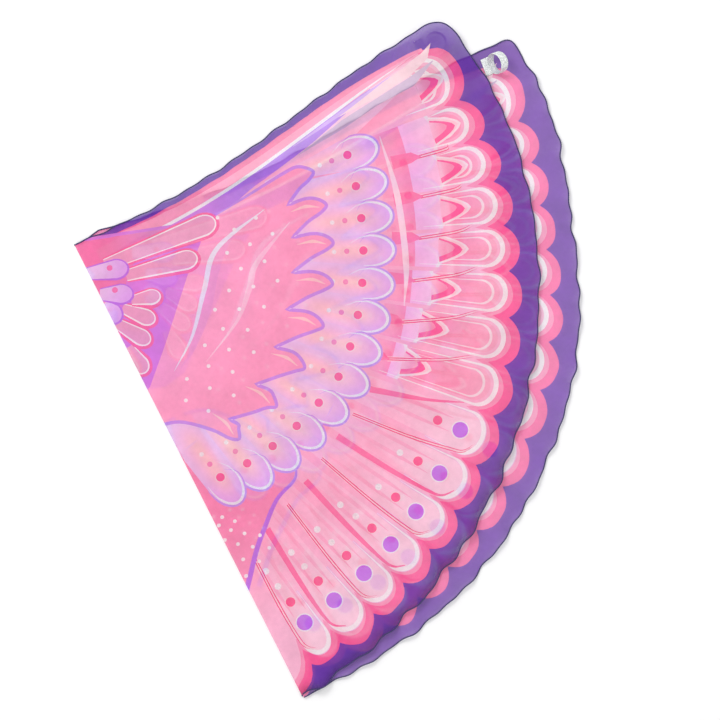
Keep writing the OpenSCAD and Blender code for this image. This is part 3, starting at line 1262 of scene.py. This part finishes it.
def fold_cloth(mat):
    """The soft bend between the two wings, with the print running over it."""
    top = lead_y(fold_x(0.0))
    y, u = pairs(np.linspace(top, -CENTRE_LEN, FOLD_ROWS), np.linspace(-1, 1, FOLD_COLUMNS))
    flat = np.stack([fold_x(y) - u * FOLD_HALF, y], -1)
    faces = np.array([(i, i + 1, i + 1 + FOLD_COLUMNS, i + FOLD_COLUMNS)
                      for i in range(len(y) - FOLD_COLUMNS) if (i + 1) % FOLD_COLUMNS])
    colours = ink(np.abs(flat)[faces] * (1, -1), FRONT)
    return painted("centre_fold_cloth", fold_place(u, y), faces, flat, colours, mat)


# -------- stitched pieces
BAND_GAP = 0.2  # between the cloth and what is stitched on it
TACK_THREAD = 0.24 * MM
TACK_STEP = 0.7
TACK_INSET = 1.0  # from a tack's end to the band's edge
LOOP_TACK = 1.7  # the loop's first bar tack, from the end of its band
LOOP_TACK_W = 1.4
LOOP_TACK_RISE = BAND_T + 0.22
STRAP_TACK = 4.8  # from the end of the shoulder elastic
STRAP_TACK_W = 1.6
STRAP_TACK_RISE = ELASTIC_T + 0.3
RING_STEPS = 96


def band_profile(width, thick, cords=5, steps=17):
    """Across and height of a woven band's section: flat, with rounded edges and raised cords."""
    x = np.linspace(-1, 1, steps)
    height = thick / 2 * np.sqrt(1 - np.abs(x) ** 8) * (1 + 0.16 * np.cos(2 * math.pi * cords * (x + 1) / 2))
    top = np.stack([x, height], -1)
    low = np.stack([x, -height], -1)[-2:0:-1]
    return np.concatenate([top, low]) * (width / 2, 1)


def sewn_band(name, side, x_span, y_span, thick, mat):
    """A woven band stitched flat on the inner face; it runs along its longer span."""
    (x0, x1), (y0, y1) = x_span, y_span
    lengthwise_x = x1 - x0 > y1 - y0
    wide, long = sorted((x1 - x0, y1 - y0))
    profile = band_profile(wide, thick)
    stations = np.linspace(0, long, max(4, int(long / 2)))
    s, v = pairs(stations, profile[:, 0] + wide / 2)
    flat = np.stack([x0 + s, y0 + v] if lengthwise_x else [x0 + v, y0 + s], -1)
    verts = place(flat, side)
    verts[:, 2] += (np.tile(profile[:, 1], len(stations)) + side * (BAND_GAP + thick / 2)) * MM
    obj = new_object(name, verts, ring_faces(len(stations), len(profile), closed=False), mat)
    lay_uv(obj, np.stack([s, v], -1))
    return obj


def finger_loop(name, side, mat):
    """The ring of woven elastic, a little longer at its stitched base and not quite round."""
    profile = band_profile(BAND_W, BAND_T)
    radius = (LOOP_D - BAND_T) / 2
    turn = np.linspace(0, 2 * math.pi, RING_STEPS, endpoint=False)
    uneven = 0.2 * np.clip(-np.cos(turn), 0, 1) ** 3 + 0.12 * np.sin(3 * turn + 1)
    t, v = pairs(turn, profile[:, 0])
    r = radius + np.repeat(uneven, len(profile)) + np.tile(profile[:, 1], RING_STEPS)
    local = np.stack([v - BAND_W / 2, r * np.sin(t), LOOP_D / 2 + r * np.cos(t)], -1)
    obj = new_object(name, loop_frame(side, local), ring_faces(RING_STEPS, len(profile), closed=True), mat)
    lay_uv(obj, np.stack([radius * t, v], -1))
    return obj


def bar_tack(name, side, start, end, wide, rise, mat):
    """Thread that crosses back and forth over the line from start to end."""
    start, end = np.array(start, float), np.array(end, float)
    run = end - start
    length = np.linalg.norm(run)
    count = int(length / TACK_STEP)
    across = np.array([-run[1], run[0]]) / length
    along_line = np.linspace(0, 1, count)[:, None] * run
    zigzag = (wide / 2 * (-1.0) ** np.arange(count))[:, None] * across
    path = place(start + along_line + zigzag, side)
    path[:, 2] += side * rise * MM
    return new_object(name, *tube(path, TACK_THREAD, 6), mat)


def loop_end(side, word, mats):
    """The finger loop's stitched end and its two bar tacks."""
    x0, x1 = LOOP_REACH - BAND_W, LOOP_REACH
    y0, y1 = TAB[0] - LOOP_DROP, TAB[1] - LOOP_DROP
    tab = sewn_band(f"{word}_loop_band_end", side, (x0, x1), (y0, y1), BAND_T, mats["loop"])
    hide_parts(f"{word}_loop_tab")
    tacks = []
    for row in (1, 2):
        y = y1 - LOOP_TACK * (2 * row - 1)
        ends = (x0 + TACK_INSET, y), (x1 - TACK_INSET, y)
        name = f"{word}_loop_stitch_{row}"
        tacks.append(bar_tack(name, side, *ends, LOOP_TACK_W, LOOP_TACK_RISE, mats["tack"]))
        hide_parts(f"{word}_loop_tack")
    return [tab], tacks


def shoulder_strap(side, word, mats):
    """The shoulder elastic and the bar tack at each of its ends."""
    low, high = -ELASTIC_DROP - ELASTIC_W / 2, -ELASTIC_DROP + ELASTIC_W / 2
    span = (ELASTIC_START, ELASTIC_START + ELASTIC_LEN)
    band = sewn_band(f"{word}_shoulder_band", side, span, (low, high), ELASTIC_T, mats["sheer"])
    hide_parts(f"{word}_shoulder_elastic")
    tacks = []
    for number, x in ((1, span[0] + STRAP_TACK), (2, span[1] - STRAP_TACK)):
        ends = (x, low + TACK_INSET), (x, high - TACK_INSET)
        name = f"{word}_shoulder_stitch_{number}"
        tacks.append(bar_tack(name, side, *ends, STRAP_TACK_W, STRAP_TACK_RISE, mats["tack"]))
        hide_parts(f"{word}_elastic_tacks")
    return [band], tacks


# -------- hems
ROLL = 0.75 * MM
OVERLOCK = 0.17 * MM
HEM_RISE = 0.4 * MM
WINDING = 2.4 * MM  # from one turn of the overlock thread to the next


def edge_flat(side, leading):
    """The flat path of one hem, from the fold outwards."""
    path = np.concatenate([lead_path(400), tip_path()]) if leading else outer_path(700)
    if side == FRONT:
        return path[path[:, 0] > fold_x(path[:, 1]) + FOLD_HALF]
    if leading:
        strip = path[path[:, 0] < fold_x(path[:, 1]) - FOLD_HALF]
        return np.concatenate([strip[:0:-1] * (-1, 1), path])
    return path[path[:, 0] > FOLD_HALF - fold_x(path[:, 1])]


def edging(name, path, mats):
    """A rolled hem along a path, and the overlock thread that winds round it."""
    roll = new_object(f"{name}_hem_roll", *tube(path, ROLL, 10), mats["hem"])
    winding = helix(path, ROLL + 0.6 * OVERLOCK, WINDING, 8)
    thread = new_object(f"{name}_overlock", *tube(winding, OVERLOCK, 5), mats["thread"])
    return roll, thread


def hems(side, word, mats):
    """The rolled hems and the edging threads of one wing."""
    rolls, threads = [], []
    for leading, part in ((True, "leading"), (False, "outer")):
        path = place(edge_flat(side, leading), side)
        path[:, 2] += HEM_RISE
        roll, thread = edging(f"{word}_{part}", path, mats)
        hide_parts(f"{word}_{part}_hem")
        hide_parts(f"{word}_{part}_thread")
        rolls.append(roll)
        threads.append(thread)
    return rolls, threads


def fold_ends(mats):
    """The short turns of the hem over the bend, at the neck and at the bottom point."""
    made = []
    for word, y in (("neck", lead_y(fold_x(0.0))), ("bottom", -CENTRE_LEN)):
        u = np.linspace(-1, 1, 16)
        path = fold_place(u, np.full(len(u), y))
        for obj, slot_name in zip(edging(f"{word}_fold", path, mats), ("hem", "edging_thread")):
            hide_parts("centre_fold")
            join_bend(obj)
            made.append(obj)
    return made


# -------- the studio
PHOTO_TURN = math.radians(26.768)  # how far the photo is turned against the frame
PHOTO_MIDDLE = (-0.053, 0.004)
CAMERA_HEIGHT = 3.0
PHOTO_WIDTH = 0.9
FLOOR_HALF = 4.0
FLOOR_Z = -0.0006
ROOM_LIGHT = 0.93
KEY_POWER, KEY_SIZE = 20, 0.9
KEY_ASIDE, KEY_HEIGHT = 1.3, 2.0


def add(name, data):
    obj = bpy.data.objects.new(name, data)
    bpy.context.scene.collection.objects.link(obj)
    return obj


def lay_camera_and_light():
    """A camera straight above, turned as in the photo, in an even white room with one soft key light."""
    right = Vector((math.cos(PHOTO_TURN), -math.sin(PHOTO_TURN), 0))
    up = Vector((math.sin(PHOTO_TURN), math.cos(PHOTO_TURN), 0))
    turn = Matrix((right, up, Vector((0, 0, 1)))).transposed()
    data = bpy.data.cameras.new("camera")
    data.lens = data.sensor_width * CAMERA_HEIGHT / PHOTO_WIDTH
    data.clip_end = 50
    camera = add("camera", data)
    camera.matrix_world = Matrix.Translation((*PHOTO_MIDDLE, CAMERA_HEIGHT)) @ turn.to_4x4()
    scene = bpy.context.scene
    scene.camera = camera
    scene.world = bpy.data.worlds.new("studio")
    scene.world.use_nodes = True
    back = scene.world.node_tree.nodes["Background"]
    back.inputs["Color"].default_value = (1, 1, 1, 1)
    back.inputs["Strength"].default_value = ROOM_LIGHT
    scene.view_settings.view_transform = "Standard"
    lamp = bpy.data.lights.new("soft_key", "AREA")
    lamp.shape = "DISK"
    lamp.size = KEY_SIZE
    lamp.energy = KEY_POWER
    key = add("soft_key", lamp)
    key.location = (up - right).normalized() * KEY_ASIDE + Vector((0, 0, KEY_HEIGHT))
    key.rotation_euler = (-key.location).to_track_quat("-Z", "Y").to_euler()


def lay_floor():
    corners = ((-1, -1), (1, -1), (1, 1), (-1, 1))
    verts = [(FLOOR_HALF * x, FLOOR_HALF * y, FLOOR_Z) for x, y in corners]
    new_object("floor", verts, [(0, 1, 2, 3)], floor_material())


# -------- putting it together
def join_bend(obj):
    """Bakes a piece's placement at the bend into its mesh."""
    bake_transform(obj)


def lie_flat(obj):
    """Gives a piece on the front wing its own copy of its mesh."""
    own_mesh(obj)


def make_materials():
    return {
        "cloth": chiffon(),
        "hem": thread_material("hem_fabric", colour("2B1B62")),
        "thread": thread_material("edging_thread", colour("150F3A")),
        "loop": glitter_elastic(),
        "tack": thread_material("tack_thread", colour("E9E6EE")),
        "sheer": sheer_elastic(),
    }


def make_cloth(mats):
    """The rear wing, the bend and the front wing."""
    verts, tris = flat_half()
    rear = rear_cloth(verts, tris, mats["cloth"])
    fold = fold_cloth(mats["cloth"])
    front = front_cloth(verts, tris, mats["cloth"])
    for obj, node_name in ((rear, "rear_wing_panel"), (fold, "centre_fold"), (front, "front_wing_panel")):
        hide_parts(node_name)
    join_bend(fold)
    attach(rear, "rear_wing")
    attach(front, "front_wing")
    lie_flat(front)
    return rear, fold, front


def sew_on(side, word, mats):
    """Everything that is sewn to one wing."""
    tab, loop_tacks = loop_end(side, word, mats)
    strap, strap_tacks = shoulder_strap(side, word, mats)
    rolls, threads = hems(side, word, mats)
    slots = {"loop_elastic": tab, "tack_thread": loop_tacks + strap_tacks, "shoulder_elastic": strap,
             "hem": rolls, "edging_thread": threads}
    made = []
    for slot_name, objs in slots.items():
        for obj in objs:
            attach(obj, f"{word}_wing")
            if side == FRONT:
                lie_flat(obj)
            made.append(obj)
    ring = finger_loop(f"{word}_finger_ring", side, mats["loop"])
    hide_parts(f"{word}_finger_loop")
    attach(ring, f"{word}_loop")
    return made + [ring]


def build():
    lay_camera_and_light()
    lay_floor()
    draw_print()
    mats = make_materials()
    rear, fold, front = make_cloth(mats)
    turns = fold_ends(mats)
    rear_pieces = sew_on(REAR, "rear", mats)
    front_pieces = sew_on(FRONT, "front", mats)


build()
